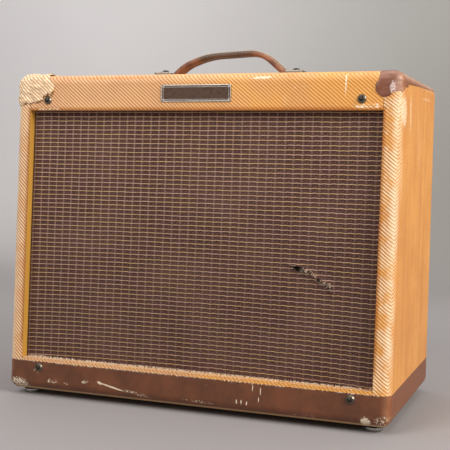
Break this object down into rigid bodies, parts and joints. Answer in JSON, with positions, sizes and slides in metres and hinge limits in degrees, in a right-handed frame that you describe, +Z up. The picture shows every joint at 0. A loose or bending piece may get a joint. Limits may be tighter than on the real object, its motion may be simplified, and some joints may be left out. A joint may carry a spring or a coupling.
{
  "type": "guitar amplifier",
  "caption": "Open-backed combo guitar amplifier in worn tweed cloth: leaning grille front, one speaker, top control panel with pointer knobs, leather handle.",
  "frame": {"origin": "on the ground under the middle of the cabinet", "axes": "+Z up, -Y towards the grille front, +X to the right seen from the front"},
  "size_m": [0.5092, 0.2596, 0.4567],
  "materials": {
    "tweed": "woven cotton, lacquered, worn",
    "leatherette": "embossed cloth, scuffed",
    "pine": "unfinished, aged",
    "plywood": "stained dark on the front",
    "grille": "woven, brown with gold threads",
    "patch_leather": "worn leatherette",
    "patch_pale": "frayed, flaking",
    "strap_leather": "stitched, polished by hands",
    "nickel": "dull plated",
    "plate_metal": "dark etched face",
    "chrome": "polished",
    "steel": "zinc plated",
    "black_plastic": "moulded phenolic",
    "brown_phenolic": "moulded phenolic",
    "clear_glass": "blown",
    "jewel": "faceted red",
    "black_iron": "black lacquered",
    "fibre_board": "waxed fibre",
    "card": "grey card",
    "paper": "pressed paper pulp",
    "capacitor_card": "waxed card tube",
    "blue_steel": "grey enamel",
    "rubber": "moulded",
    "glide_steel": "scratched nickel"
  },
  "bodies": {
    "cabinet": {"cabinet_top": "pine", "cabinet_bottom": "pine", "cabinet_side_left": "pine", "cabinet_side_right": "pine", "front_top_rail": "pine", "front_bottom_rail": "pine", "back_cleats": "pine", "baffle_board": "plywood", "grille_cloth": "grille", "tweed_cover": "tweed", "leatherette_wrap": "leatherette", "corner_patch_right": "patch_leather", "corner_patch_left": "patch_pale", "cabinet_screws": "nickel", "finishing_washers": "nickel", "name_plate": "plate_metal", "name_plate_pins": "nickel", "handle_brackets": "nickel", "handle_bolts": "steel", "foot_glides": "glide_steel", "foot_cushions": "rubber", "back_panel_upper": "tweed", "back_panel_lower": "tweed", "chassis": "chrome", "chassis_bolts": "chrome", "mains_grommet": "rubber", "panel_nuts": "chrome", "potentiometers": "steel", "input_jacks": "steel", "power_switch_body": "brown_phenolic", "fuse_holder": "black_plastic", "pilot_bezel": "chrome", "pilot_jewel": "jewel", "valve_sockets": "brown_phenolic", "octal_valve_bases": "black_plastic", "octal_valve_glass": "clear_glass", "small_valve_glass": "clear_glass", "power_transformer_core": "steel", "power_transformer_bells": "black_iron", "output_transformer": "black_iron", "eyelet_board": "fibre_board", "filter_capacitors": "capacitor_card", "board_components": "capacitor_card", "speaker_gasket": "card", "speaker_basket": "blue_steel", "speaker_magnet": "blue_steel", "speaker_bolts": "steel"},
    "instrument_volume": {"instrument_volume_shaft": "steel", "instrument_volume_knob": "black_plastic"},
    "microphone_volume": {"microphone_volume_shaft": "steel", "microphone_volume_knob": "black_plastic"},
    "tone": {"tone_shaft": "steel", "tone_knob": "black_plastic"},
    "power_switch": {"power_switch_lever": "chrome"},
    "fuse": {"fuse_cap": "black_plastic"},
    "moving_cone": {"speaker_cone": "paper", "dust_cap": "paper"},
    "handle": {"handle_strap": "strap_leather"}
  },
  "joints": [
    {"name": "instrument_volume_turn", "type": "hinge", "parent": "cabinet", "child": "instrument_volume", "pos_m": [0.026, 0.087, 0.4092], "axis": [0, 0, 1], "range_deg": [-150, 150]},
    {"name": "microphone_volume_turn", "type": "hinge", "parent": "cabinet", "child": "microphone_volume", "pos_m": [-0.02, 0.087, 0.4092], "axis": [0, 0, 1], "range_deg": [-150, 150]},
    {"name": "tone_turn", "type": "hinge", "parent": "cabinet", "child": "tone", "pos_m": [-0.066, 0.087, 0.4092], "axis": [0, 0, 1], "range_deg": [-150, 150]},
    {"name": "power_switch_throw", "type": "hinge", "parent": "cabinet", "child": "power_switch", "pos_m": [-0.102, 0.087, 0.4132], "axis": [0, 1, 0], "range_deg": [0, 30]},
    {"name": "fuse_cap_turn", "type": "hinge", "parent": "cabinet", "child": "fuse", "pos_m": [-0.132, 0.087, 0.4108], "axis": [0, 0, -1], "range_deg": [0, 60]},
    {"name": "cone_travel", "type": "slide", "parent": "cabinet", "child": "moving_cone", "axis": [0, 0.9987, -0.0512], "range_m": [-0.0025, 0.0025], "stiffness_N_per_m": 3000},
    {"name": "handle_lift", "type": "slide", "parent": "cabinet", "child": "handle", "axis": [0, 0, 1], "range_m": [0, 0.0025]}
  ]
}
